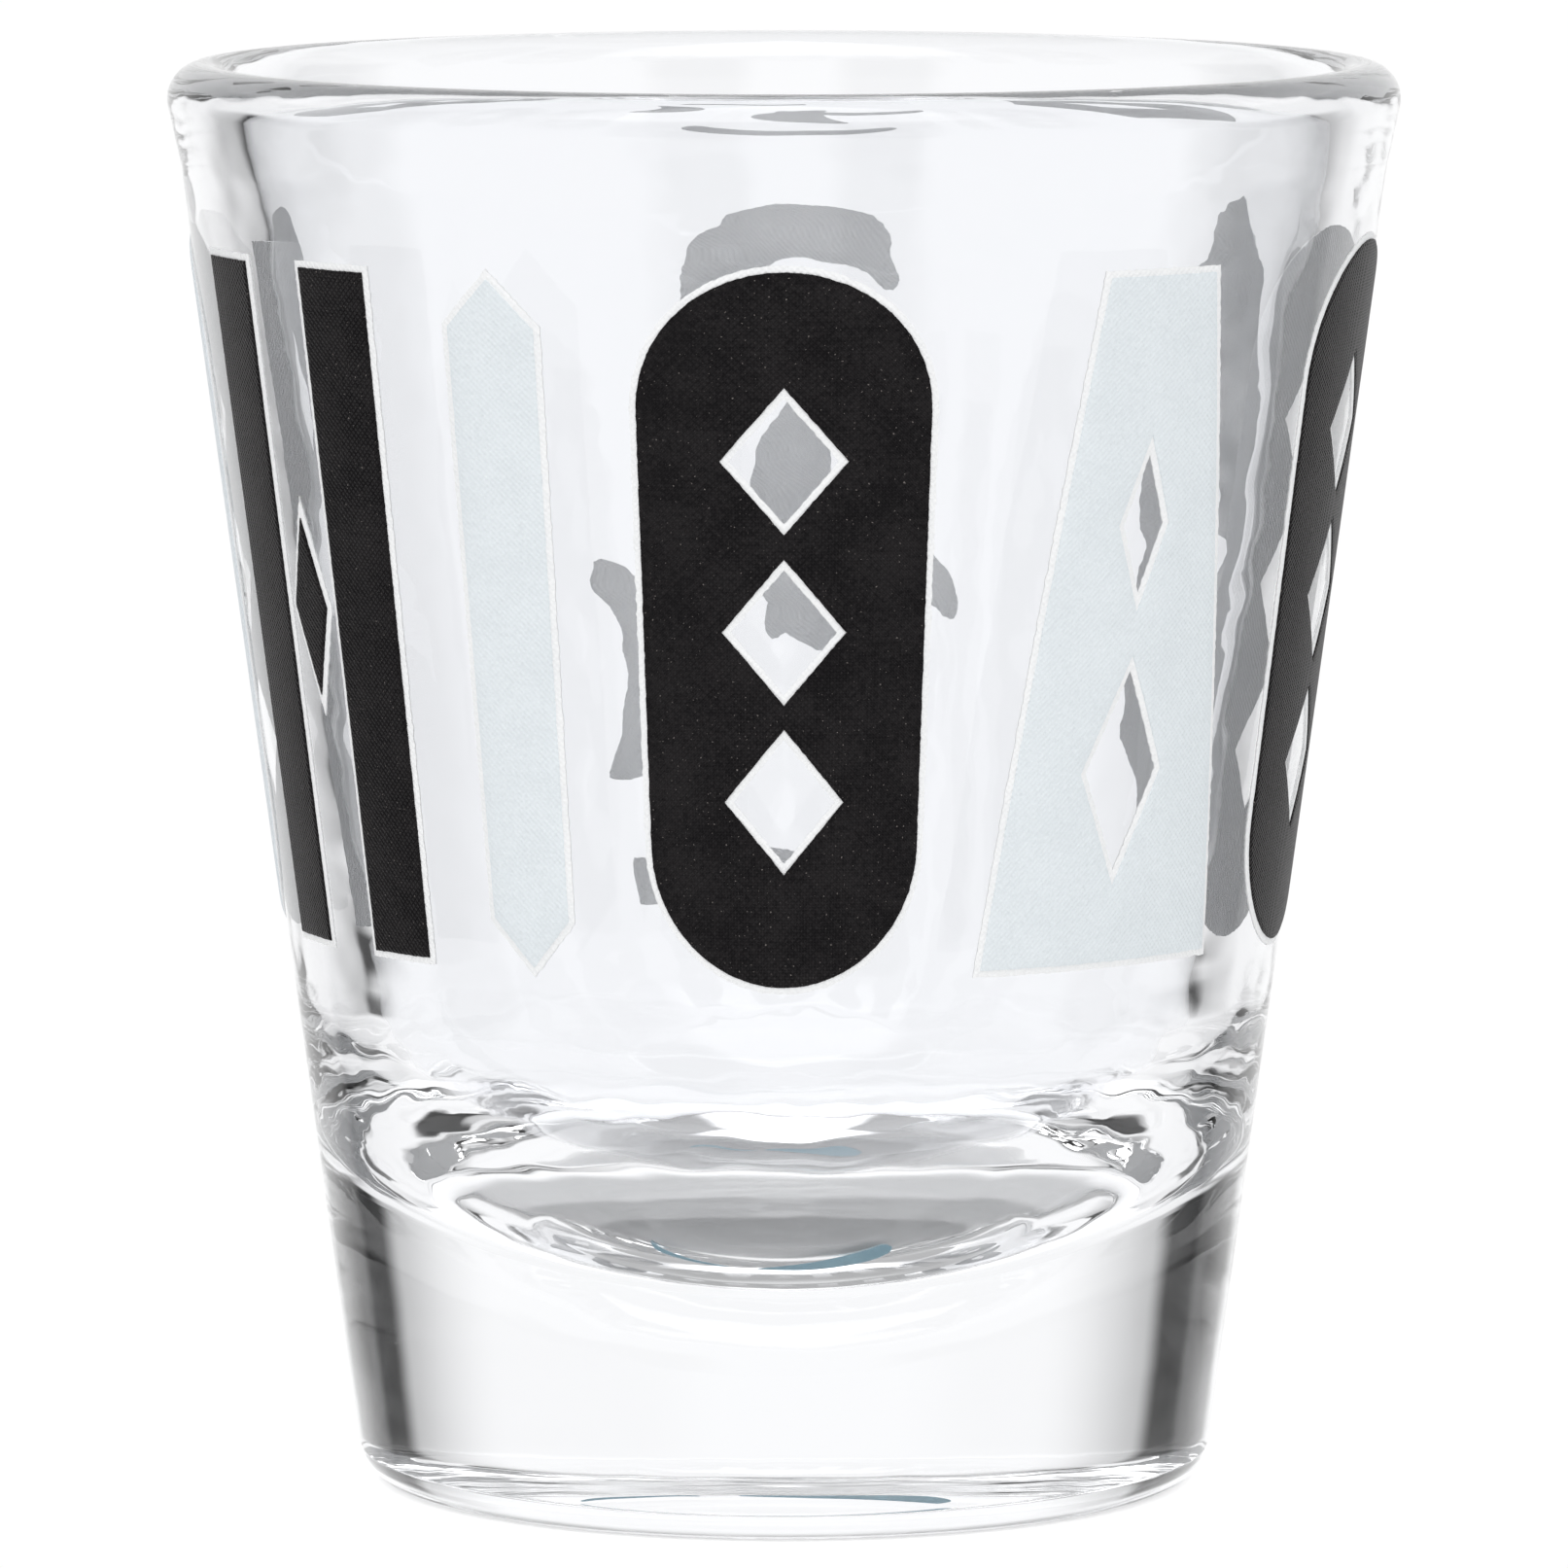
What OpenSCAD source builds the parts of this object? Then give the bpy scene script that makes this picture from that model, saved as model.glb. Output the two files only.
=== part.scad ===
// Shot glass: a pressed glass body with a fired two-layer enamel print round its wall.
// Millimetres. +Z is up, and the origin is on the table at the centre of the foot.
// The front of the print faces -Y. Angles round the wall start there and grow towards +X.

/* [Glass body] */
// Height over the lip
height = 60; // [48:0.5:75]
// Diameter across the rolled lip
lip_d = 51.8; // [44:0.1:64]
// Diameter of the outer cone where it reaches the table, before the edge is rounded
foot_d = 35.7; // [28:0.1:42]
// Thickness of the rolled lip
lip_t = 3; // [2.4:0.1:3.6]
// How far the lip stands proud of the cone of the wall
lip_proud = 0.2; // [0.05:0.05:0.5]
// Height of the strip that fairs the lip into the wall
lip_fairing = 4.3; // [3.5:0.1:6]
// Radius of the rounded edge round the foot
foot_edge_r = 1.6; // [0.6:0.1:2.4]

/* [Cavity] */
// Thickness of the solid base under the middle of the cavity
base_t = 9.4; // [6:0.1:14]
// Horizontal thickness of the wall, taken level with the cavity's lowest point
wall_low = 3.7; // [3:0.1:4.6]
// Radius of the dished floor of the cavity
floor_r = 22; // [18:0.5:30]
// Radius of the round between the wall and the floor
bowl_r = 12; // [8:0.5:14]

/* [Foot recess] */
// Diameter of the shallow recess under the foot
recess_d = 23; // [16:0.5:26]
// Depth of the recess at its centre
recess_depth = 0.7; // [0.3:0.1:1.5]
// Radius of the curved blue mark in the recess
mark_r = 5; // [3:0.5:6]
// Greatest width of the mark
mark_w = 1.4; // [0.8:0.1:2]

/* [Print] */
// Distance from the top of the lip down to the print band
print_drop = 7.6; // [6:0.2:12]
// Height of the print band
print_h = 28.4; // [20:0.2:34]
// Width of a printed bar
bar_w = 3.7; // [2.5:0.1:4.5]
// Width of the tall figures
figure_w = 11.4; // [9:0.1:12.6]
// Width of the spire at its foot
spire_w = 13; // [10:0.1:14]
// Gap between two neighbouring figures
figure_gap = 4; // [1.5:0.1:4.5]
// Gap between the spire's foot and its neighbours
spire_gap = 3.2; // [1.5:0.1:4]
// Width of the diamond windows in the round-ended figures
window_w = 5; // [2:0.1:6]
// How far the round-ended figures pass the edges of the band
overshoot = 0.5; // [0:0.1:1]
// How far the underprint shows round the colour
halo = 0.28; // [0.1:0.02:0.4]
// Fired thickness of the underprint
underprint_t = 0.08; // [0.05:0.01:0.15]
// Fired thickness of the colour coat
coat_t = 0.08; // [0.05:0.01:0.15]

/* [Hidden] */
$fn = 96;

GLASS = [0.9, 0.95, 0.97, 0.4];
WHITE = "white";
BLACK = [0.1, 0.09, 0.1];
PALE = [0.87, 0.9, 0.92];
BLUE = [0.36, 0.6, 0.72];
EPS = 0.01;

// ---- The outer cone, the lip and the inner cone ----
lip_r = lip_t / 2;
cone_top_r = lip_d / 2 - lip_proud + lip_r * (lip_d - foot_d) / 2 / height;
cone_slope = (cone_top_r - foot_d / 2) / height;
cone_tilt = atan(cone_slope);
lip_centre = [lip_d / 2 - lip_r, height - lip_r];
function wall_r(z) = foot_d / 2 + cone_slope * z;

// The centre of the arc round the foot's edge, which touches the cone and the table
foot_centre = [wall_r(foot_edge_r) - foot_edge_r / cos(cone_tilt), foot_edge_r];

// The fairing's lower end, and the direction in which it meets the lip's round
fairing_low = [wall_r(height - lip_fairing), height - lip_fairing];
to_fairing = fairing_low - lip_centre;
fairing_turn = atan2(to_fairing.y, to_fairing.x) + acos(lip_r / norm(to_fairing));

// The inner wall is the straight line through its low point that touches the lip's round
inner_low = [wall_r(base_t) - wall_low, base_t];
to_lip = lip_centre - inner_low;
inner_tilt = atan2(to_lip.x, to_lip.y) - asin(lip_r / norm(to_lip));
inner_slope = tan(inner_tilt);
function bore_r(z) = inner_low.x + inner_slope * (z - inner_low.y);

// The round of the bowl touches both the inner wall and the dished floor
floor_centre_z = base_t + floor_r;
bowl_offset = bore_r(0) - bowl_r / cos(inner_tilt);
quad_a = 1 + inner_slope * inner_slope;
quad_b = inner_slope * bowl_offset - floor_centre_z;
quad_c = pow(bowl_offset, 2) + pow(floor_centre_z, 2) - pow(floor_r - bowl_r, 2);
bowl_z = (-quad_b - sqrt(quad_b * quad_b - quad_a * quad_c)) / quad_a;
bowl_centre = [bowl_offset + inner_slope * bowl_z, bowl_z];
floor_turn = atan2(bowl_z - floor_centre_z, bowl_centre.x);

// The recess is part of a sphere
recess_r = (pow(recess_d / 2, 2) + pow(recess_depth, 2)) / (2 * recess_depth);

// Points along an arc, both ends included
function arc(centre, r, from, to, steps) =
    [for (i = [0:steps]) let (a = from + (to - from) * i / steps) centre + r * [cos(a), sin(a)]];

ARC_STEPS = 24;
DISH_STEPS = 12;

recess_centre = [0, recess_depth - recess_r];
recess_edge = 90 - asin(recess_d / 2 / recess_r);
recess_arc = arc(recess_centre, recess_r, 90, recess_edge, DISH_STEPS);
foot_arc = arc(foot_centre, foot_edge_r, -90, -cone_tilt, ARC_STEPS);
lip_arc = arc(lip_centre, lip_r, fairing_turn, 180 - inner_tilt, 2 * ARC_STEPS);
bowl_arc = arc(bowl_centre, bowl_r, -inner_tilt, floor_turn, ARC_STEPS);
floor_arc = arc([0, floor_centre_z], floor_r, floor_turn, -90, ARC_STEPS);

module glass_body() {
    color(GLASS)
        rotate_extrude($fn = 180)
            polygon(concat(
                recess_arc, foot_arc, [fairing_low], lip_arc, bowl_arc,
                [for (i = [1:ARC_STEPS]) floor_arc[i]]
            ));
}

// ---- The print ----
print_high = height - print_drop;
print_low = print_high - print_h;
print_mid = (print_low + print_high) / 2;
print_r = wall_r(print_mid);

// Distances round the wall are taken at the middle of the band. This is the angle for one of them.
function turn(distance) = distance / print_r * 180 / PI;

// An outline's x is the distance round the wall, so an upright line follows the slope of the cone
function on_wall(p) = [wall_r(p.y) * sin(turn(p.x)), p.y];
function wrapped(points) = [for (p = points) on_wall(p)];

SHELL_MARGIN = 3;

// A shell of the cone, from a gap off the glass to a gap plus a thickness
module cone_shell(gap, thickness) {
    low = print_low - SHELL_MARGIN;
    high = print_high + SHELL_MARGIN;
    translate([0, 0, low])
        difference() {
            cylinder(
                h = high - low,
                r1 = wall_r(low) + gap + thickness,
                r2 = wall_r(high) + gap + thickness
            );
            translate([0, 0, -EPS])
                cylinder(
                    h = high - low + 2 * EPS,
                    r1 = wall_r(low - EPS) + gap,
                    r2 = wall_r(high + EPS) + gap
                );
        }
}

// Cuts the children's flat outline, seen from outside, out of a shell at an angle round the wall
module printed(angle, gap, thickness) {
    rotate([0, 0, angle])
        intersection() {
            cone_shell(gap, thickness);
            rotate([90, 0, 0])
                translate([0, 0, lip_d / 5])
                    linear_extrude(height = lip_d / 2)
                        children();
        }
}

module underprint(angle) {
    color(WHITE)
        printed(angle, 0, underprint_t)
            children();
}

module coat(angle, ink) {
    color(ink)
        printed(angle, underprint_t, coat_t)
            children();
}

// ---- Flat outlines. grow widens the ink on every side, so it narrows the windows. ----
END_STEPS = 20;

module capsule(low, high, width, grow) {
    r = width / 2 + grow;
    polygon(wrapped(concat(
        arc([0, high + grow - r], r, 0, 180, END_STEPS),
        arc([0, low - grow + r], r, 180, 360, END_STEPS)
    )));
}

// The window's slanted sides move by grow, so its points move by more
module diamond(centre, width, tall, grow) {
    slant = sqrt(width * width + tall * tall);
    half_w = width / 2 + grow * slant / tall;
    half_h = tall / 2 + grow * slant / width;
    polygon(wrapped([
        centre + [half_w, 0],
        centre + [0, half_h],
        centre - [half_w, 0],
        centre - [0, half_h]
    ]));
}

module bar(left, right, low, high, grow) {
    polygon(wrapped([
        [left - grow, low - grow],
        [right + grow, low - grow],
        [right + grow, high + grow],
        [left - grow, high + grow]
    ]));
}

// A bar whose two ends run to a point. point is the height of each end.
module pointed_bar(width, low, high, point, grow) {
    half = width / 2;
    side = half + grow;
    tip = grow * sqrt(point * point + half * half) / half;
    shoulder = side * point / half - tip;
    polygon(wrapped([
        [0, low - tip],
        [side, low + shoulder],
        [side, high - shoulder],
        [0, high + tip],
        [-side, high - shoulder],
        [-side, low + shoulder]
    ]));
}

WINDOW_COUNT = 3;
WINDOW_GAP = 1;

module windowed_capsule(grow) {
    pitch = (print_h - 2 * bar_w) / WINDOW_COUNT;
    difference() {
        capsule(print_low - overshoot, print_high + overshoot, figure_w, grow);
        for (i = [0:WINDOW_COUNT - 1])
            diamond([0, print_low + bar_w + pitch * (i + 0.5)], window_w, pitch - WINDOW_GAP, -grow);
    }
}

// The small diamond between the bars fills this share of the space across, and this of the band
TWIN_DIAMOND = [0.62, 0.26];

module twin_bars(grow) {
    space = figure_w - 2 * bar_w;
    bar(-figure_w / 2, bar_w - figure_w / 2, print_low, print_high, grow);
    bar(figure_w / 2 - bar_w, figure_w / 2, print_low, print_high, grow);
    diamond([0, print_mid], space * TWIN_DIAMOND.x, print_h * TWIN_DIAMOND.y, grow);
}

SLIM_POINT = 2;

module slim_bar(grow) {
    pointed_bar(bar_w, print_low, print_high, SLIM_POINT, grow);
}

// The spire's width at its top is a share of that at its foot
SPIRE_TOP = 0.39;
// Each window of the spire: its centre's height and its own height as shares of the band, and its width
// as a share of the spire's foot
SPIRE_WINDOWS = [[0.28, 0.34, 0.34], [0.64, 0.26, 0.2]];

module spire(grow) {
    foot = spire_w / 2;
    top = foot * SPIRE_TOP;
    lean = (foot - top) / print_h;
    side = grow * sqrt(1 + lean * lean);
    difference() {
        polygon(wrapped([
            [-foot - side - grow * lean, print_low - grow],
            [foot + side + grow * lean, print_low - grow],
            [top + side - grow * lean, print_high + grow],
            [-top - side + grow * lean, print_high + grow]
        ]));
        for (w = SPIRE_WINDOWS)
            diamond([0, print_low + print_h * w[0]], spire_w * w[2], print_h * w[1], -grow);
    }
}

LOZENGE_POINT = 6;
LOZENGE_WINDOW_H = 0.5;

module long_lozenge(grow) {
    difference() {
        pointed_bar(figure_w, print_low - overshoot, print_high + overshoot, LOZENGE_POINT, grow);
        diamond([0, print_mid], window_w, print_h * LOZENGE_WINDOW_H, -grow);
    }
}

// ---- Brush strokes: arcs whose width swells and tapers between two pointed ends ----
STROKE_STEPS = 24;

// Half the width of a stroke at a share of its length
function swell(share, width) = width / 2 * pow(sin(180 * share), 0.7);

// One edge of a stroke. side is 1 for the outer edge and -1 for the inner one.
function stroke_edge(centre, r, from, to, width, grow, side) =
    let (over = grow / r * 180 / PI * sign(to - from))
    [for (i = [0:STROKE_STEPS])
        let (
            share = i / STROKE_STEPS,
            a = from - over + (to - from + 2 * over) * share,
            half = max(swell(share, width), EPS) + grow * pow(sin(180 * share), 0.3)
        )
        centre + (r + side * half) * [cos(a), sin(a)]];

function stroke_outline(centre, r, from, to, width, grow) =
    let (inner = stroke_edge(centre, r, from, to, width, grow, -1))
    concat(
        stroke_edge(centre, r, from, to, width, grow, 1),
        [for (i = [1:STROKE_STEPS - 1]) inner[STROKE_STEPS - i]]
    );

// centre is in the artwork's own scale, from the middle of the band's lower edge
module stroke(centre, r, from, to, width, grow) {
    place = [0, print_low] + brush_scale * centre;
    polygon(wrapped(
        stroke_outline(place, brush_scale * r, from, to, brush_scale * width, grow)
    ));
}

// The strokes are drawn for a band this high
BRUSH_DRAWN_FOR = 28.4;
brush_scale = print_h / BRUSH_DRAWN_FOR;
BRUSH_BAR = [[-1.2, -1.9], [8.1, -0.6]];

module brush_strokes(grow) {
    stroke([-0.6, 22.2], 5, 5, 155, 2.5, grow);
    stroke([-8.6, 14.4], 8.4, -42, 48, 3.4, grow);
    stroke([-4.4, 8], 4.8, 15, 150, 2.3, grow);
    stroke([12, 7.6], 5.2, 118, 238, 2.5, grow);
    bar(
        brush_scale * BRUSH_BAR[0].x, brush_scale * BRUSH_BAR[1].x,
        print_low + BRUSH_BAR[0].y, print_low + BRUSH_BAR[1].y, grow
    );
}

// ---- Where each figure's centre line stands round the wall, reckoned out from the front figure ----
half_figure = figure_w / 2;
slim_at = -(half_figure + figure_gap + bar_w / 2);
twin_at = slim_at - (bar_w / 2 + figure_gap + half_figure);
capsule_left_at = twin_at - (half_figure + figure_gap + half_figure);
spire_at = half_figure + spire_gap + spire_w / 2;
capsule_right_at = spire_at + spire_w / 2 + spire_gap + half_figure;
lozenge_at = capsule_right_at + half_figure + figure_gap + half_figure;

AT_CAPSULE_LEFT = turn(capsule_left_at);
AT_TWIN_BARS = turn(twin_at);
AT_SLIM_BAR = turn(slim_at);
AT_CAPSULE_FRONT = 0;
AT_SPIRE = turn(spire_at);
AT_CAPSULE_RIGHT = turn(capsule_right_at);
AT_LONG_LOZENGE = turn(lozenge_at);
AT_BRUSH = 180;

// The mark lies against the roof of the recess. Its arc opens towards the front.
MARK_CENTRE = [-1, -2];
MARK_FROM = -5;
MARK_TO = 165;

module base_mark() {
    color(BLUE)
        intersection() {
            linear_extrude(height = recess_depth)
                polygon(stroke_outline(MARK_CENTRE, mark_r, MARK_FROM, MARK_TO, mark_w, 0));
            translate([0, 0, recess_centre.y])
                difference() {
                    sphere(r = recess_r);
                    sphere(r = recess_r - coat_t);
                }
        }
}

module capsule_left_underprint() { underprint(AT_CAPSULE_LEFT) windowed_capsule(halo); }
module capsule_left_coat() { coat(AT_CAPSULE_LEFT, PALE) windowed_capsule(0); }
module twin_bars_underprint() { underprint(AT_TWIN_BARS) twin_bars(halo); }
module twin_bars_coat() { coat(AT_TWIN_BARS, BLACK) twin_bars(0); }
module slim_bar_underprint() { underprint(AT_SLIM_BAR) slim_bar(halo); }
module slim_bar_coat() { coat(AT_SLIM_BAR, PALE) slim_bar(0); }
module capsule_front_underprint() { underprint(AT_CAPSULE_FRONT) windowed_capsule(halo); }
module capsule_front_coat() { coat(AT_CAPSULE_FRONT, BLACK) windowed_capsule(0); }
module spire_underprint() { underprint(AT_SPIRE) spire(halo); }
module spire_coat() { coat(AT_SPIRE, PALE) spire(0); }
module capsule_right_underprint() { underprint(AT_CAPSULE_RIGHT) windowed_capsule(halo); }
module capsule_right_coat() { coat(AT_CAPSULE_RIGHT, BLACK) windowed_capsule(0); }
module long_lozenge_underprint() { underprint(AT_LONG_LOZENGE) long_lozenge(halo); }
module long_lozenge_coat() { coat(AT_LONG_LOZENGE, PALE) long_lozenge(0); }
module brush_strokes_underprint() { underprint(AT_BRUSH) brush_strokes(halo); }
module brush_strokes_coat() { coat(AT_BRUSH, BLACK) brush_strokes(0); }

glass_body();
capsule_left_underprint();
capsule_left_coat();
twin_bars_underprint();
twin_bars_coat();
slim_bar_underprint();
slim_bar_coat();
capsule_front_underprint();
capsule_front_coat();
spire_underprint();
spire_coat();
capsule_right_underprint();
capsule_right_coat();
long_lozenge_underprint();
long_lozenge_coat();
brush_strokes_underprint();
brush_strokes_coat();
base_mark();
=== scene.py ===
"""The looks of the printed shot glass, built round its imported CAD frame.

Named lengths are in millimetres, as in the CAD source, and every mesh is made in metres.
"""

import math

import bpy
import numpy as np
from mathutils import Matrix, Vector, noise
from mathutils.geometry import delaunay_2d_cdt


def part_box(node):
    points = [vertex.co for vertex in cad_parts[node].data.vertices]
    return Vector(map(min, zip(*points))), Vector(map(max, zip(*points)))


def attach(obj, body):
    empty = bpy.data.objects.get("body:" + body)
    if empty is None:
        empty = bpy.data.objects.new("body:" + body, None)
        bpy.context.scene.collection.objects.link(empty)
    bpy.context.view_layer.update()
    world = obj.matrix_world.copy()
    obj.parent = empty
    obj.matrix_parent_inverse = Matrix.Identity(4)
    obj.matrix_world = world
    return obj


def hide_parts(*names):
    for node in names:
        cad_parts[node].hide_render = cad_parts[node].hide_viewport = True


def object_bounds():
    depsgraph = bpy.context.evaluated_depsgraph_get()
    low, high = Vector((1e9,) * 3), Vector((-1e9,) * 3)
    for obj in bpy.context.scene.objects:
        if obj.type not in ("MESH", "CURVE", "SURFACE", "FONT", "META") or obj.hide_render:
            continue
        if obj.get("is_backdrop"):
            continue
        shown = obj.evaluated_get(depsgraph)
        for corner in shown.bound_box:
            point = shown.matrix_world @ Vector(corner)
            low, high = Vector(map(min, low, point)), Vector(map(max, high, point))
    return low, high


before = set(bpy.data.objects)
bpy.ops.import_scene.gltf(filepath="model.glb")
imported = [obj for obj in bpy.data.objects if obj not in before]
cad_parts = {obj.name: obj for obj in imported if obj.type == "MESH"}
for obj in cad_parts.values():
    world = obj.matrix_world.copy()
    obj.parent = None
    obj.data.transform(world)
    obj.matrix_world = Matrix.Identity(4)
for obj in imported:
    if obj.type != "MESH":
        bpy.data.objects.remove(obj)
CAD_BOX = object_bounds()

MM = 0.001
TAU = 2 * math.pi

# ---- Glass, with the CAD source's own sizes ----
GLASS_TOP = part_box("glass_body")[1]
HEIGHT = GLASS_TOP.z / MM
LIP_R = GLASS_TOP.x / MM
FOOT_R = 17.85
LIP_ROUND = 1.5
LIP_PROUD = 0.2
LIP_FAIRING = 4.3
FOOT_EDGE_R = 1.6
BASE_T = 9.4
WALL_LOW = 3.7
FLOOR_R = 22
BOWL_R = 12
RECESS_RADIUS = 11.5
RECESS_DEPTH = 0.7
RECESS_BALL_R = (RECESS_RADIUS**2 + RECESS_DEPTH**2) / (2 * RECESS_DEPTH)

CONE_TOP_R = LIP_R - LIP_PROUD + LIP_ROUND * (LIP_R - FOOT_R) / HEIGHT
CONE_SLOPE = (CONE_TOP_R - FOOT_R) / HEIGHT
CONE_TILT = math.atan(CONE_SLOPE)

RECESS_STEPS = 24
FOOT_STEPS = 32
LIP_STEPS = 64
BOWL_STEPS = 64
FLOOR_STEPS = 48
RING_SPACING = 0.5

# ---- Print, with the CAD source's own sizes ----
PRINT_HIGH = HEIGHT - 7.6
PRINT_H = 28.4
PRINT_LOW = PRINT_HIGH - PRINT_H
PRINT_MID = (PRINT_LOW + PRINT_HIGH) / 2
BAR_W = 3.7
FIGURE_W = 11.4
SPIRE_W = 13
FIGURE_GAP = 4
SPIRE_GAP = 3.2
WINDOW_W = 5
WINDOW_GAP = 1
OVERSHOOT = 0.5
HALO = 0.28
UNDERPRINT_T = 0.08
COAT_T = 0.08
EMBED = 0.02
LAP = 0.01


def wall_r(z):
    return FOOT_R + CONE_SLOPE * z


PRINT_R = wall_r(PRINT_MID)


def arc(centre, r, start, end, steps):
    """Points along an arc, angles in radians, both ends included."""
    angles = [start + (end - start) * i / steps for i in range(steps + 1)]
    return [(centre[0] + r * math.cos(a), centre[1] + r * math.sin(a)) for a in angles]


def spaced(points, step, closed=False):
    """The same line with points added so that none are further apart than step."""
    ends = points[1:] + points[:1] if closed else points[1:]
    out = []
    for (x0, y0), (x1, y1) in zip(points, ends):
        count = max(1, math.ceil(math.hypot(x1 - x0, y1 - y0) / step))
        out += [(x0 + (x1 - x0) * i / count, y0 + (y1 - y0) * i / count) for i in range(count)]
    return out if closed else out + [points[-1]]


def glass_profile():
    """The half section from the roof of the recess round the outside and the lip to the cavity's floor.

    Returns the outside's points and the inside's points.
    """
    recess = arc(
        (0, RECESS_DEPTH - RECESS_BALL_R), RECESS_BALL_R,
        math.pi / 2, math.pi / 2 - math.asin(RECESS_RADIUS / RECESS_BALL_R), RECESS_STEPS,
    )
    foot = (wall_r(FOOT_EDGE_R) - FOOT_EDGE_R / math.cos(CONE_TILT), FOOT_EDGE_R)
    foot_edge = arc(foot, FOOT_EDGE_R, -math.pi / 2, -CONE_TILT, FOOT_STEPS)

    lip = (LIP_R - LIP_ROUND, HEIGHT - LIP_ROUND)
    low = (wall_r(HEIGHT - LIP_FAIRING), HEIGHT - LIP_FAIRING)
    reach = math.dist(low, lip)
    turn = math.atan2(low[1] - lip[1], low[0] - lip[0]) + math.acos(LIP_ROUND / reach)

    inner_low = (wall_r(BASE_T) - WALL_LOW, BASE_T)
    across, up = lip[0] - inner_low[0], lip[1] - inner_low[1]
    tilt = math.atan2(across, up) - math.asin(LIP_ROUND / math.hypot(across, up))
    slope = math.tan(tilt)
    top = arc(lip, LIP_ROUND, turn, math.pi - tilt, LIP_STEPS)

    floor_z = BASE_T + FLOOR_R
    offset = inner_low[0] - slope * BASE_T - BOWL_R / math.cos(tilt)
    a = 1 + slope * slope
    b = slope * offset - floor_z
    c = offset**2 + floor_z**2 - (FLOOR_R - BOWL_R) ** 2
    bowl_z = (-b - math.sqrt(b * b - a * c)) / a
    bowl = (offset + slope * bowl_z, bowl_z)
    floor_turn = math.atan2(bowl_z - floor_z, bowl[0])
    bowl_arc = arc(bowl, BOWL_R, -tilt, floor_turn, BOWL_STEPS)
    floor_arc = arc((0, floor_z), FLOOR_R, floor_turn, -math.pi / 2, FLOOR_STEPS)
    floor_arc[-1] = (0, BASE_T)
    crest = LIP_STEPS // 2
    outside = spaced(recess + foot_edge + [low] + top[:crest], RING_SPACING)
    inside = spaced(top[crest - 1:] + bowl_arc + floor_arc[1:], RING_SPACING)
    return outside, inside[1:]


def finish_mesh(name, verts, faces, sharp_angle, uvs=None):
    """A piece of closed mesh, shaded smooth except over edges sharper than the angle."""
    mesh = bpy.data.meshes.new(name)
    mesh.from_pydata(verts, [], faces)
    if uvs is not None:
        layer = mesh.uv_layers.new(name="UVMap")
        for loop in mesh.loops:
            layer.data[loop.index].uv = uvs[loop.vertex_index]
    mesh.validate()
    mesh.shade_smooth()
    mesh.set_sharp_from_angle(angle=sharp_angle)
    piece = bpy.data.objects.new(name, mesh)
    bpy.context.scene.collection.objects.link(piece)
    return piece


def ripple(x, y, z, amount):
    """How far pressed glass strays from its true form at a point: a broad swell and fine level lines."""
    broad = noise.noise(Vector((x, y, z)) / RIPPLE_SIZE)
    fine = noise.noise(Vector((x, y, z * FINE_LEVEL)) / FINE_SIZE)
    return amount * (broad + FINE_SHARE * fine)


SEGMENTS = 384
OUTER_RIPPLE = 0.012
INNER_RIPPLE = 0.05
RIPPLE_SIZE = 5
FINE_SIZE = 1.8
FINE_LEVEL = 2.2
FINE_SHARE = 0.35
CALM_MIDDLE = 6
CALM_ENDS = 3
GLASS_SHARP = math.radians(40)


def lathe_glass():
    """The glass, turned from its profile. The ripple dies away at the middle, the foot and the lip."""
    outside, inside = glass_profile()
    rings = [(r, z, OUTER_RIPPLE) for r, z in outside] + [(r, z, INNER_RIPPLE) for r, z in inside]
    poles = (0, len(rings) - 1)
    verts, starts = [], []
    for i, (r, z, amount) in enumerate(rings):
        starts.append(len(verts))
        if i in poles:
            verts.append((0, 0, z * MM))
            continue
        calm = min(1, r / CALM_MIDDLE) * min(1, abs(z) / CALM_ENDS) * min(1, abs(HEIGHT - z) / CALM_ENDS)
        for j in range(SEGMENTS):
            turn = TAU * j / SEGMENTS
            x, y = r * math.cos(turn), r * math.sin(turn)
            bump = ripple(x, y, z, amount * calm)
            verts.append(((x + bump * math.cos(turn)) * MM, (y + bump * math.sin(turn)) * MM, z * MM))
    faces = []
    for j in range(SEGMENTS):
        k = (j + 1) % SEGMENTS
        faces.append((starts[0], starts[1] + k, starts[1] + j))
        for i in range(1, len(rings) - 2):
            p, q = starts[i], starts[i + 1]
            faces.append((p + j, p + k, q + k, q + j))
        faces.append((starts[-2] + j, starts[-2] + k, starts[-1]))
    return finish_mesh("glass", verts, faces, GLASS_SHARP)


# ---- Flat outlines: a list of loops of (distance round the wall, height). The first loop is the rim. ----
CAPSULE_STEPS = 40
TWIN_DIAMOND_W = 0.62
TWIN_DIAMOND_H = 0.26
SLIM_POINT = 2
SPIRE_TOP = 0.39
SPIRE_WINDOWS = [(0.28, 0.34, 0.34), (0.64, 0.26, 0.2)]
LOZENGE_POINT = 6
LOZENGE_WINDOW_H = 0.5
STROKE_STEPS = 60
STROKE_TIP = 0.01
SWELL = 0.7
HALO_SWELL = 0.3
# Each stroke of the back figure: its arc's centre, radius, start, end and width. Heights are over PRINT_LOW.
BACK_STROKES = [
    ((-0.6, 22.2), 5, 5, 155, 2.5),
    ((-8.6, 14.4), 8.4, -42, 48, 3.4),
    ((-4.4, 8), 4.8, 15, 150, 2.3),
    ((12, 7.6), 5.2, 118, 238, 2.5),
]
BACK_BAR = (-1.2, 8.1, -1.9, -0.6)
# The strokes of the mark under the foot, with the same five values each, seen from above.
MARK_STROKES = [((-1.5, -3.2), 6.2, 15, 88, 2.6), ((-1, -2), 5, 98, 165, 0.7)]


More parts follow.
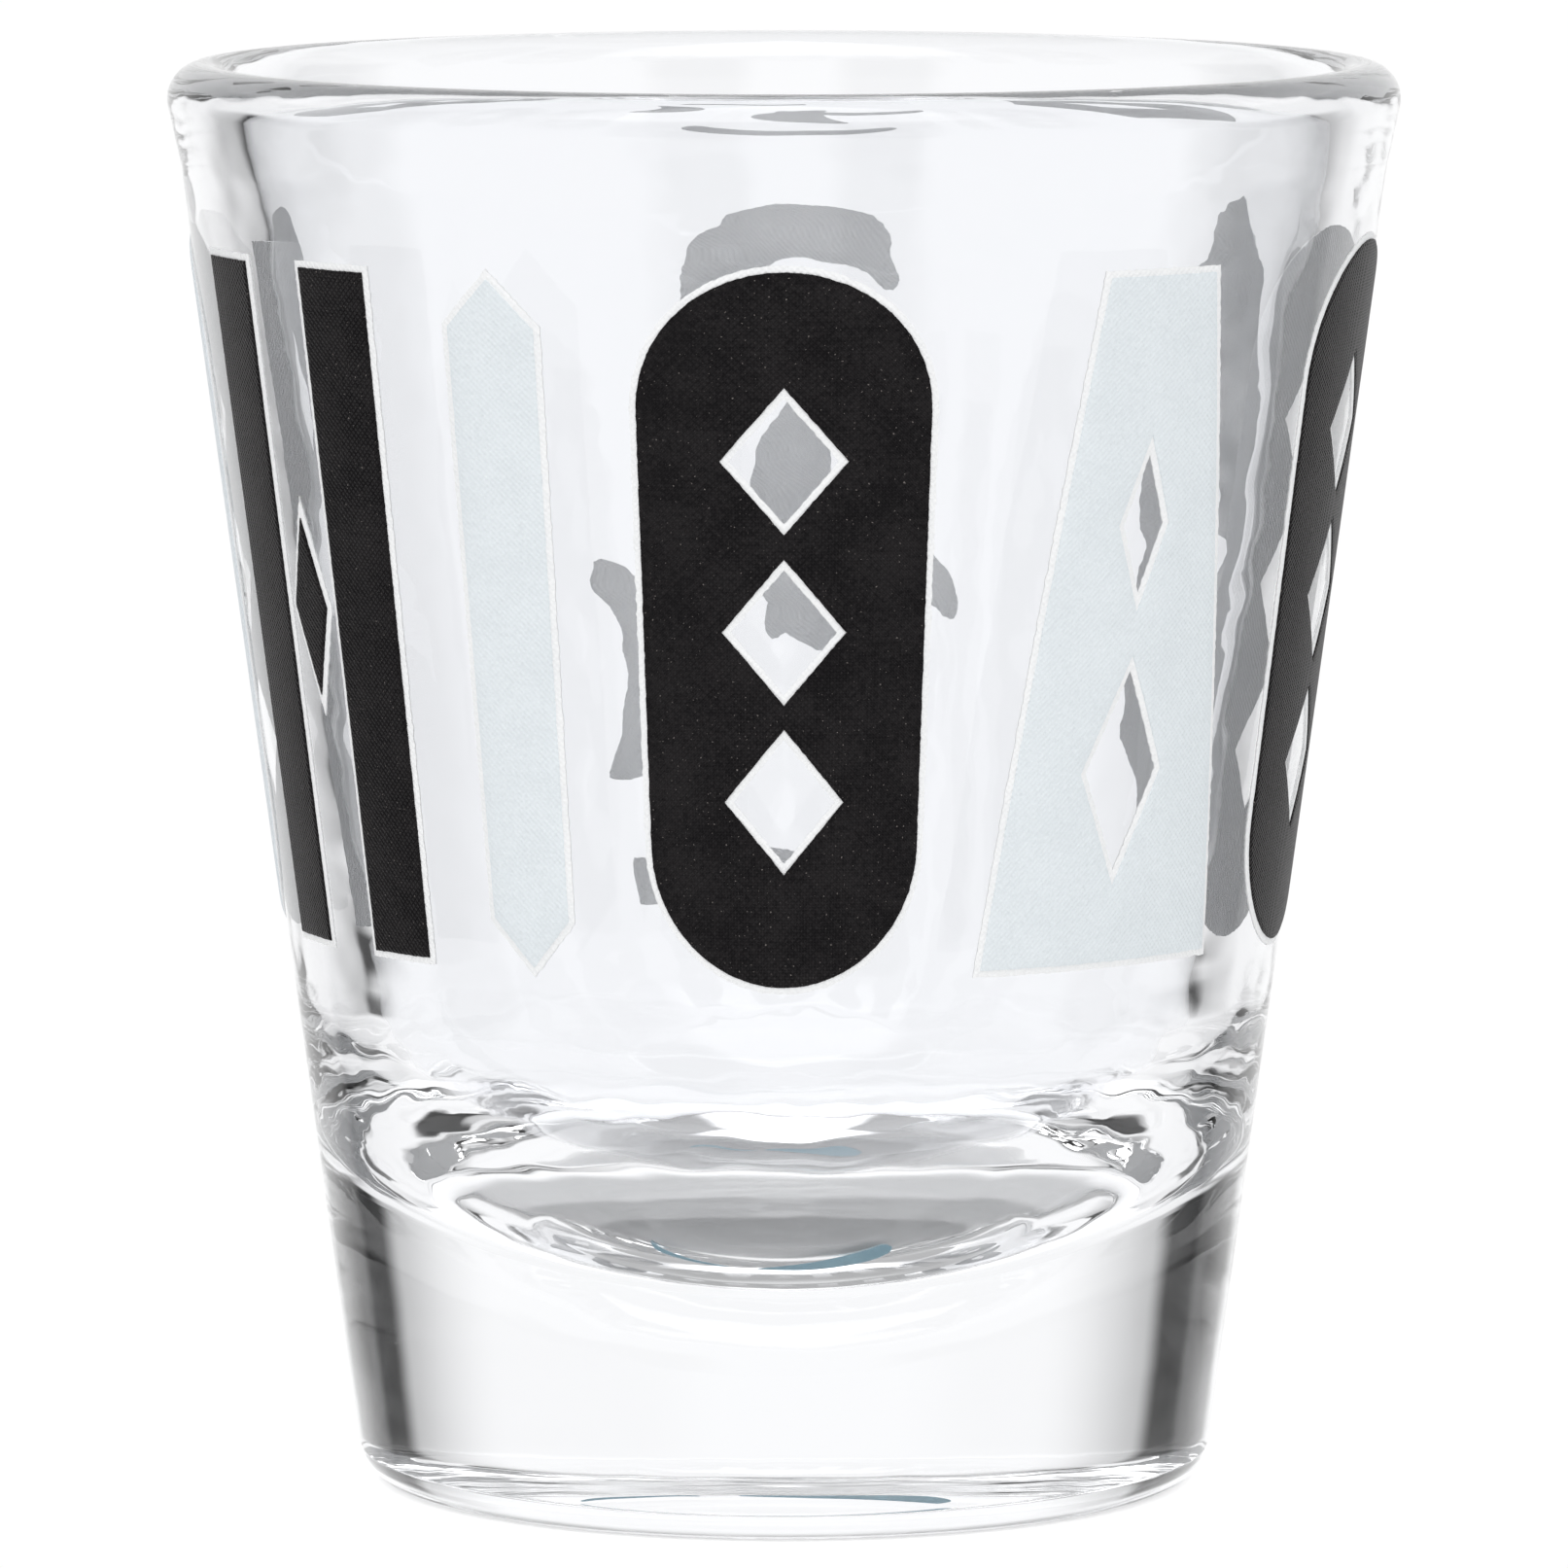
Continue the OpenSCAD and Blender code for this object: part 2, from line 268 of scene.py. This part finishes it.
def capsule(low, high, width, grow):
    r = width / 2 + grow
    upper = arc((0, high + grow - r), r, 0, math.pi, CAPSULE_STEPS)
    lower = arc((0, low - grow + r), r, math.pi, TAU, CAPSULE_STEPS)
    return upper + lower


def diamond(centre, width, tall, grow):
    slant = math.hypot(width, tall)
    half_w = width / 2 + grow * slant / tall
    half_h = tall / 2 + grow * slant / width
    x, z = centre
    return [(x + half_w, z), (x, z + half_h), (x - half_w, z), (x, z - half_h)]


def bar(left, right, low, high, grow):
    left, right, low, high = left - grow, right + grow, low - grow, high + grow
    return [(left, low), (right, low), (right, high), (left, high)]


def pointed_bar(width, low, high, point, grow):
    half = width / 2
    side = half + grow
    tip = grow * math.hypot(point, half) / half
    shoulder = side * point / half - tip
    return [
        (0, low - tip), (side, low + shoulder), (side, high - shoulder),
        (0, high + tip), (-side, high - shoulder), (-side, low + shoulder),
    ]


def windowed_capsule(grow):
    pitch = (PRINT_H - 2 * BAR_W) / 3
    middles = [PRINT_LOW + BAR_W + pitch * (i + 0.5) for i in range(3)]
    windows = [diamond((0, z), WINDOW_W, pitch - WINDOW_GAP, -grow) for z in middles]
    return [[capsule(PRINT_LOW - OVERSHOOT, PRINT_HIGH + OVERSHOOT, FIGURE_W, grow)] + windows]


def twin_bars(grow):
    half = FIGURE_W / 2
    space = FIGURE_W - 2 * BAR_W
    return [
        [bar(-half, BAR_W - half, PRINT_LOW, PRINT_HIGH, grow)],
        [bar(half - BAR_W, half, PRINT_LOW, PRINT_HIGH, grow)],
        [diamond((0, PRINT_MID), space * TWIN_DIAMOND_W, PRINT_H * TWIN_DIAMOND_H, grow)],
    ]


def slim_bar(grow):
    return [[pointed_bar(BAR_W, PRINT_LOW, PRINT_HIGH, SLIM_POINT, grow)]]


def spire(grow):
    foot = SPIRE_W / 2
    top = foot * SPIRE_TOP
    lean = (foot - top) / PRINT_H
    side = grow * math.hypot(1, lean)
    low, high = PRINT_LOW - grow, PRINT_HIGH + grow
    rim = [
        (-foot - side - grow * lean, low), (foot + side + grow * lean, low),
        (top + side - grow * lean, high), (-top - side + grow * lean, high),
    ]
    return [[rim] + [
        diamond((0, PRINT_LOW + PRINT_H * up), SPIRE_W * wide, PRINT_H * tall, -grow)
        for up, tall, wide in SPIRE_WINDOWS
    ]]


def long_lozenge(grow):
    rim = pointed_bar(FIGURE_W, PRINT_LOW - OVERSHOOT, PRINT_HIGH + OVERSHOOT, LOZENGE_POINT, grow)
    return [[rim, diamond((0, PRINT_MID), WINDOW_W, PRINT_H * LOZENGE_WINDOW_H, -grow)]]


def stroke(centre, r, start, end, width, grow):
    """A brush stroke: an arc that swells and tapers between two pointed ends. Angles in degrees."""
    over = math.degrees(grow / r) * math.copysign(1, end - start)
    edges = ([], [])
    for i in range(STROKE_STEPS + 1):
        share = i / STROKE_STEPS
        bulge = max(0, math.sin(math.pi * share))
        a = math.radians(start - over + (end - start + 2 * over) * share)
        half = max(width / 2 * bulge**SWELL, STROKE_TIP) + grow * bulge**HALO_SWELL
        for edge, side in zip(edges, (1, -1)):
            reach = r + side * half
            edge.append((centre[0] + reach * math.cos(a), centre[1] + reach * math.sin(a)))
    return edges[0] + edges[1][-2:0:-1]


def brush_strokes(grow):
    strokes = [[stroke((x, PRINT_LOW + z), *rest, grow)] for (x, z), *rest in BACK_STROKES]
    left, right, low, high = BACK_BAR
    return strokes + [[bar(left, right, PRINT_LOW + low, PRINT_LOW + high, grow)]]


# ---- Outlines made into thin shells ----
TINY = 1e-9
FILL_TOLERANCE = 1e-6
EDGE_STEP = 0.2
GRID_STEP = 0.6
EDGE_ROUND = 0.14
EDGE_FALL = 0.35
EDGE_ROUGHNESS = 0.03
WHITE_ROUGHNESS = 0.06
EDGE_FINENESS = 4.1
RING_CLEARANCE = 0.85
SHELL_SHARP = math.radians(50)
UV_SPAN = 100


def inside_loops(points, loops):
    """Which points are inside the outline, by the even-odd rule."""
    x, y = points[:, 0:1], points[:, 1:2]
    within = np.zeros(len(points), bool)
    for loop in loops:
        x0, y0 = loop[:, 0], loop[:, 1]
        x1, y1 = np.roll(x0, -1), np.roll(y0, -1)
        rise = np.where(y1 == y0, 1e-12, y1 - y0)
        crosses = ((y0 > y) != (y1 > y)) & (x < x0 + (x1 - x0) * (y - y0) / rise)
        within ^= (crosses.sum(1) % 2).astype(bool)
    return within


def normals_of(loop):
    along = np.roll(loop, -1, 0) - np.roll(loop, 1, 0)
    along /= np.maximum(np.linalg.norm(along, axis=1, keepdims=True), TINY)
    return np.stack([along[:, 1], -along[:, 0]], 1)


def roughened(loop, roughness):
    """The loop with the small irregularities that a screen's mesh leaves along an edge."""
    loop = np.array(spaced(loop, EDGE_STEP, closed=True))
    shifts = [roughness * noise.noise(Vector((x, y, 0)) * EDGE_FINENESS) for x, y in loop]
    return loop + normals_of(loop) * np.array(shifts)[:, None]


def filled(loops):
    """Flat triangles that fill an outline. Returns the points and the triangles."""
    edge = np.concatenate(loops)
    bounds, at = [], 0
    for loop in loops:
        bounds += [(at + i, at + (i + 1) % len(loop)) for i in range(len(loop))]
        at += len(loop)
    sides = np.concatenate([normals_of(loop) for loop in loops])
    ring = np.concatenate([edge + sides * EDGE_ROUND, edge - sides * EDGE_ROUND])
    low, high = edge.min(0), edge.max(0)
    across, up = np.meshgrid(
        np.arange(low[0], high[0], GRID_STEP), np.arange(low[1], high[1], GRID_STEP)
    )
    grid = np.stack([across.ravel(), up.ravel()], 1)

    def clear(points, distance):
        points = points[inside_loops(points, loops)]
        gaps = np.linalg.norm(points[:, None] - edge[None], axis=2).min(1)
        return points[gaps > distance]

    ring = clear(ring, EDGE_ROUND * RING_CLEARANCE)
    grid = clear(grid, EDGE_ROUND + EDGE_STEP)
    points = np.concatenate([edge, ring, grid])
    found = delaunay_2d_cdt([Vector(p) for p in points], bounds, [], 0, FILL_TOLERANCE)
    flat = np.array([tuple(v) for v in found[0]])
    triangles = np.array([tuple(f) for f in found[2]])
    middles = flat[triangles].mean(1)
    triangles = triangles[inside_loops(middles, loops)]
    return flat, triangles


def boundary_edges(triangles):
    """Directed edges that only one triangle has."""
    edges = {(t[i], t[(i + 1) % 3]) for t in triangles for i in range(3)}
    return [e for e in edges if (e[1], e[0]) not in edges]


def anticlockwise(flat, triangles):
    a, b, c = (flat[triangles[:, i]] for i in range(3))
    area = (b[:, 0] - a[:, 0]) * (c[:, 1] - a[:, 1]) - (b[:, 1] - a[:, 1]) * (c[:, 0] - a[:, 0])
    triangles = triangles[np.abs(area) > TINY]
    area = area[np.abs(area) > TINY]
    triangles[area < 0] = triangles[area < 0][:, ::-1]
    return triangles.tolist()


def shell(name, islands, place, low, high, roughness=EDGE_ROUGHNESS):
    """A thin layer with these islands. place(point, offset) puts a flat point on the surface."""
    verts, faces, uvs = [], [], []
    for loops in islands:
        flat, triangles = filled([roughened(loop, roughness) for loop in loops])
        triangles = anticlockwise(flat, triangles)
        rims = boundary_edges(triangles)
        on_rim = {i for e in rims for i in e}
        base, count = len(verts), len(flat)
        verts += [place(p, low) for p in flat]
        for i, p in enumerate(flat):
            verts.append(place(p, high - (high - low) * EDGE_FALL if i in on_rim else high))
        uvs += [(0.5 + p[0] / UV_SPAN, p[1] / UV_SPAN) for p in flat] * 2
        for a, b, c in triangles:
            faces.append((base + c, base + b, base + a))
            faces.append((base + count + a, base + count + b, base + count + c))
        for a, b in rims:
            faces.append((base + a, base + b, base + count + b, base + count + a))
    return finish_mesh(name, verts, faces, SHELL_SHARP, uvs)


def round_the_wall(turn):
    """Places flat points on the cone, around a figure's centre line at that angle from the front."""

    def place(point, offset):
        s, z = point
        r = (wall_r(z) + offset) * MM
        a = turn + s / PRINT_R
        return (r * math.sin(a), -r * math.cos(a), z * MM)

    return place


# ---- Materials ----
class Nodes:
    """Short names for the nodes of one material or world."""

    def __init__(self, tree):
        self.tree = tree

    def add(self, kind, **settings):
        node = self.tree.nodes.new(kind)
        for key, value in settings.items():
            setattr(node, key, value)
        return node

    def put(self, socket, value):
        if isinstance(value, bpy.types.NodeSocket):
            self.tree.links.new(value, socket)
        else:
            socket.default_value = value

    def maths(self, operation, *values):
        node = self.add("ShaderNodeMath", operation=operation)
        for socket, value in zip(node.inputs, values):
            self.put(socket, value)
        return node.outputs[0]

    def smooth(self, value, low, high):
        node = self.add("ShaderNodeMapRange", interpolation_type="SMOOTHSTEP")
        for key, setting in (("Value", value), ("From Min", low), ("From Max", high)):
            self.put(node.inputs[key], setting)
        return node.outputs["Result"]

    def times(self, *values):
        product = values[0]
        for value in values[1:]:
            product = self.maths("MULTIPLY", product, value)
        return product

    def kept(self, loss):
        return self.maths("SUBTRACT", 1, loss)

    def dimmed(self, value, start, end, level):
        """1 up to start, then down to level by end."""
        return self.kept(self.times(self.smooth(value, start, end), 1 - level))

    def band(self, value, rise, full, fall, end):
        """1 between full and fall, and 0 before rise and after end."""
        return self.times(self.smooth(value, rise, full), self.kept(self.smooth(value, fall, end)))

    def noise(self, coords, scale, detail=2.0, roughness=0.5):
        node = self.add("ShaderNodeTexNoise")
        inputs = {"Vector": coords, "Scale": scale, "Detail": detail, "Roughness": roughness}
        for key, value in inputs.items():
            self.put(node.inputs[key], value)
        return node.outputs["Fac"]

    def blend(self, share, a, b):
        node = self.add("ShaderNodeMix", data_type="RGBA")
        self.put(node.inputs["Factor"], share)
        self.put(node.inputs["A"], a)
        self.put(node.inputs["B"], b)
        return node.outputs["Result"]

    def bump(self, height, strength, distance):
        node = self.add("ShaderNodeBump")
        self.put(node.inputs["Height"], height)
        self.put(node.inputs["Strength"], strength)
        self.put(node.inputs["Distance"], distance)
        return node.outputs["Normal"]


def new_material(name):
    material = bpy.data.materials.new(name)
    material.use_nodes = True
    return material, Nodes(material.node_tree), material.node_tree.nodes["Principled BSDF"].inputs


GLASS_COLOUR = (0.955, 0.962, 0.978, 1)
GLASS_IOR = 1.52


def glass_material():
    material, _, shader = new_material("pressed_glass")
    shader["Base Color"].default_value = GLASS_COLOUR
    shader["Transmission Weight"].default_value = 1
    shader["Roughness"].default_value = 0
    shader["IOR"].default_value = GLASS_IOR
    return material


# The inks' noise scales are per UV unit, which is UV_SPAN millimetres.
MESH_PITCH = 0.26
GRAIN_SCALE = 420
GRAIN_DETAIL = 3
GRAIN_ROUGHNESS = 0.6
BROAD_SCALE = 45
GRAIN_SHARE = 0.6
MOTTLE_RANGE = (0.38, 0.62)
SPECK_SCALE = 800
SPECK_RANGE = (0.71, 0.77)
RELIEF_STRENGTH = 0.8
RELIEF_DEPTH = 0.00005


def ink_material(name, dark, light, speck, specular, roughness, weave):
    """Fired screen ink: a faint weave from the screen, mottled colour and a few pale specks."""
    material, nodes, shader = new_material(name)
    coords = nodes.add("ShaderNodeTexCoord").outputs["UV"]
    split = nodes.add("ShaderNodeSeparateXYZ")
    nodes.put(split.inputs[0], coords)
    per_uv = TAU * UV_SPAN / MESH_PITCH
    threads = [nodes.maths("SINE", nodes.times(split.outputs[i], per_uv)) for i in (0, 1)]
    grain = nodes.noise(coords, GRAIN_SCALE, GRAIN_DETAIL, GRAIN_ROUGHNESS)
    broad = nodes.noise(coords, BROAD_SCALE)
    mottle = nodes.maths("ADD", nodes.times(grain, GRAIN_SHARE), nodes.times(broad, 1 - GRAIN_SHARE))
    colour = nodes.blend(nodes.smooth(mottle, *MOTTLE_RANGE), (*dark, 1), (*light, 1))
    specks = nodes.smooth(nodes.noise(coords, SPECK_SCALE, 1), *SPECK_RANGE)
    nodes.put(shader["Base Color"], nodes.blend(specks, colour, (*speck, 1)))
    relief = nodes.maths("ADD", nodes.times(*threads, weave), grain)
    nodes.put(shader["Normal"], nodes.bump(relief, RELIEF_STRENGTH, RELIEF_DEPTH))
    shader["Roughness"].default_value = roughness
    shader["Specular IOR Level"].default_value = specular
    return material


GLASS = glass_material()
BLACK = ink_material(
    "black_enamel", dark=(0.003, 0.002, 0.003), light=(0.015, 0.013, 0.014), speck=(0.2, 0.18, 0.17),
    specular=0.12, roughness=0.36, weave=1.6,
)
PALE = ink_material(
    "pale_enamel", dark=(0.77, 0.82, 0.85), light=(0.81, 0.86, 0.89), speck=(0.86, 0.9, 0.92),
    specular=0.3, roughness=0.5, weave=0.3,
)
WHITE = ink_material(
    "white_enamel", dark=(0.9, 0.91, 0.92), light=(0.94, 0.945, 0.95), speck=(0.96, 0.96, 0.96),
    specular=0.3, roughness=0.5, weave=0.3,
)
BLUE = ink_material(
    "blue_enamel", dark=(0.28, 0.5, 0.62), light=(0.4, 0.63, 0.73), speck=(0.55, 0.74, 0.83),
    specular=0.3, roughness=0.5, weave=0.3,
)


def dress(piece, material, slot, *nodes):
    piece.data.materials.append(material)
    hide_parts(*nodes)
    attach(piece, "root")


# ---- The pieces ----
dress(lathe_glass(), GLASS, "glass", "glass_body")

SLIM_AT = -(FIGURE_W / 2 + FIGURE_GAP + BAR_W / 2)
TWIN_AT = SLIM_AT - (BAR_W / 2 + FIGURE_GAP + FIGURE_W / 2)
LEFT_AT = TWIN_AT - (FIGURE_GAP + FIGURE_W)
SPIRE_AT = FIGURE_W / 2 + SPIRE_GAP + SPIRE_W / 2
RIGHT_AT = SPIRE_AT + SPIRE_W / 2 + SPIRE_GAP + FIGURE_W / 2
LOZENGE_AT = RIGHT_AT + FIGURE_W + FIGURE_GAP

FIGURES = [
    ("capsule_left", windowed_capsule, LEFT_AT, PALE, "pale_enamel"),
    ("twin_bars", twin_bars, TWIN_AT, BLACK, "black_enamel"),
    ("slim_bar", slim_bar, SLIM_AT, PALE, "pale_enamel"),
    ("capsule_front", windowed_capsule, 0, BLACK, "black_enamel"),
    ("spire", spire, SPIRE_AT, PALE, "pale_enamel"),
    ("capsule_right", windowed_capsule, RIGHT_AT, BLACK, "black_enamel"),
    ("long_lozenge", long_lozenge, LOZENGE_AT, PALE, "pale_enamel"),
    ("brush_strokes", brush_strokes, math.pi * PRINT_R, BLACK, "black_enamel"),
]

for figure, outline, at, ink, ink_slot in FIGURES:
    place = round_the_wall(at / PRINT_R)
    under = shell(f"{figure}_white", outline(HALO), place, -EMBED, UNDERPRINT_T, WHITE_ROUGHNESS)
    dress(under, WHITE, "white_enamel", f"{figure}_underprint")
    over = shell(f"{figure}_ink", outline(0), place, UNDERPRINT_T - LAP, UNDERPRINT_T + COAT_T)
    dress(over, ink, ink_slot, f"{figure}_coat")


def on_recess_roof(point, offset):
    """Places flat points under the recess's roof. offset is measured down from the roof."""
    x, y = point
    roof = RECESS_DEPTH - RECESS_BALL_R + math.sqrt(RECESS_BALL_R**2 - x * x - y * y)
    return (x * MM, y * MM, (roof + offset) * MM)


MARK = [[stroke(*values, 0)] for values in MARK_STROKES]
dress(shell("mark", MARK, on_recess_roof, -COAT_T, EMBED), BLUE, "blue_enamel", "base_mark")


# ---- Set ----
# Lengths in metres. Each ring of the floor's glow has the radii between which it rises, and by how much. The
# glow is least under the glass, which paints a contact shadow there.
FLOOR_EXTENT = 0.02
FLOOR_DROP = 0.00001
FLOOR_STEPS_ROUND = 128
FLOOR_ALBEDO = 0.75
FLOOR_GLOW_SHADOW_RINGS = [(0.0084, 0.0092, 0.15), (0.0122, 0.0132, 0.2), (0.016, 0.0182, 0.45)]


def make_floor():
    """A pale disc under the glass that glows as on a light table, so no cast shadow shows round the foot;
    the glow dims in steps under the foot, a painted contact shadow.
    """
    material, nodes, shader = new_material("floor")
    shader["Base Color"].default_value = (FLOOR_ALBEDO, FLOOR_ALBEDO, FLOOR_ALBEDO, 1)
    shader["Roughness"].default_value = 1
    shader["Specular IOR Level"].default_value = 0
    shader["Emission Color"].default_value = (1, 1, 1, 1)
    reach = nodes.add("ShaderNodeVectorMath", operation="LENGTH")
    nodes.put(reach.inputs[0], nodes.add("ShaderNodeTexCoord").outputs["Object"])
    # The glow rises ring by ring outwards from none under the recess: the dim middle is painted contact
    # shadow.
    glow_with_painted_shadow = 0
    for start, end, gain in FLOOR_GLOW_SHADOW_RINGS:
        step = nodes.times(nodes.smooth(reach.outputs["Value"], start, end), gain)
        glow_with_painted_shadow = nodes.maths("ADD", step, glow_with_painted_shadow)
    nodes.put(shader["Emission Strength"], glow_with_painted_shadow)
    circle = arc((0, 0), FLOOR_EXTENT, 0, TAU, FLOOR_STEPS_ROUND)[:-1]
    rim = [(x, y, -FLOOR_DROP) for x, y in circle]
    mesh = bpy.data.meshes.new("floor")
    mesh.from_pydata(rim, [], [list(range(len(rim)))])
    mesh.materials.append(material)
    floor = bpy.data.objects.new("floor", mesh)
    bpy.context.scene.collection.objects.link(floor)
    floor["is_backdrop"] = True


# Directions in degrees. Azimuth runs both ways round, from 0 behind the glass to 180 in front of it, and
# LEFT_SHIFT turns the line that it is measured from.
SKY = 1.01
LEFT_SHIFT = 2
SIDE_FALL = (26, 49, 0.5)
CARD_EDGE = (44, 49.5, 0.02)
CARD_END = (74, 85)
FRONT_DARK = (146, 153, 166, 173.5)
FRONT_DARKNESS = 0.85
LEVEL_BAND = (-19, -14, 20, 30)
CEILING = (24, 44, 0.45)
TOP_LIGHT = 1.9
TOP_LIGHT_AZIMUTH = (125, 145)
TOP_LIGHT_HEIGHT = (28, 38)


def directions(nodes):
    """The azimuth and the height of the part of the world that a ray reaches."""
    split = nodes.add("ShaderNodeSeparateXYZ")
    nodes.put(split.inputs[0], nodes.add("ShaderNodeTexCoord").outputs["Generated"])
    degrees = 180 / math.pi
    signed = nodes.times(nodes.maths("ARCTAN2", split.outputs[0], split.outputs[1]), degrees)
    azimuth = nodes.maths("ABSOLUTE", nodes.maths("SUBTRACT", signed, LEFT_SHIFT))
    return azimuth, nodes.times(nodes.maths("ARCSINE", split.outputs[2]), degrees)


def studio_light(nodes):
    """White all round, with dark cards low at the sides behind the glass and a soft light high in front."""
    azimuth, up = directions(nodes)
    behind = nodes.times(nodes.dimmed(azimuth, *SIDE_FALL), nodes.dimmed(azimuth, *CARD_EDGE))
    cards = nodes.times(nodes.kept(behind), nodes.kept(nodes.smooth(azimuth, *CARD_END)))
    front = nodes.times(nodes.band(azimuth, *FRONT_DARK), FRONT_DARKNESS)
    lost = nodes.times(nodes.maths("ADD", cards, front), nodes.band(up, *LEVEL_BAND))
    level = nodes.times(nodes.kept(lost), nodes.dimmed(up, *CEILING))
    lamp = nodes.times(
        nodes.smooth(azimuth, *TOP_LIGHT_AZIMUTH), nodes.smooth(up, *TOP_LIGHT_HEIGHT), TOP_LIGHT
    )
    return nodes.times(nodes.maths("ADD", level, lamp), SKY)


def make_world():
    world = bpy.data.worlds.new("studio")
    bpy.context.scene.world = world
    world.use_nodes = True
    world.node_tree.nodes.clear()
    nodes = Nodes(world.node_tree)
    background = nodes.add("ShaderNodeBackground")
    background.inputs["Color"].default_value = (1, 1, 1, 1)
    nodes.put(background.inputs["Strength"], studio_light(nodes))
    nodes.put(nodes.add("ShaderNodeOutputWorld").inputs[0], background.outputs[0])


# The camera's place in metres, and its lens and sensor in millimetres.
CAMERA_BACK = 0.509
CAMERA_UP = 0.08795
CAMERA_TILT = math.radians(6.56)
CAMERA_LENS = 278.1
CAMERA_SENSOR = 36
CAMERA_CLIP = (0.01, 1000)
BOUNCES = 24
GLOSSY_BOUNCES = 16


def make_camera():
    camera = bpy.data.cameras.new("camera")
    camera.sensor_width = CAMERA_SENSOR
    camera.lens = CAMERA_LENS
    camera.clip_start, camera.clip_end = CAMERA_CLIP
    holder = bpy.data.objects.new("camera", camera)
    holder.location = (0, -CAMERA_BACK, CAMERA_UP)
    holder.rotation_euler = (math.pi / 2 - CAMERA_TILT, 0, 0)
    bpy.context.scene.collection.objects.link(holder)
    bpy.context.scene.camera = holder


def set_light_paths():
    """Enough bounces for light to pass through both walls and the base."""
    scene = bpy.context.scene
    scene.view_settings.view_transform = "Standard"
    scene.cycles.max_bounces = BOUNCES
    scene.cycles.transmission_bounces = BOUNCES
    scene.cycles.glossy_bounces = GLOSSY_BOUNCES
    scene.cycles.use_denoising = True


make_floor()
make_world()
make_camera()
set_light_paths()

boxes = {"cad": CAD_BOX, "visual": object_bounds()}
{key: [list(corner) for corner in box] for key, box in boxes.items()}
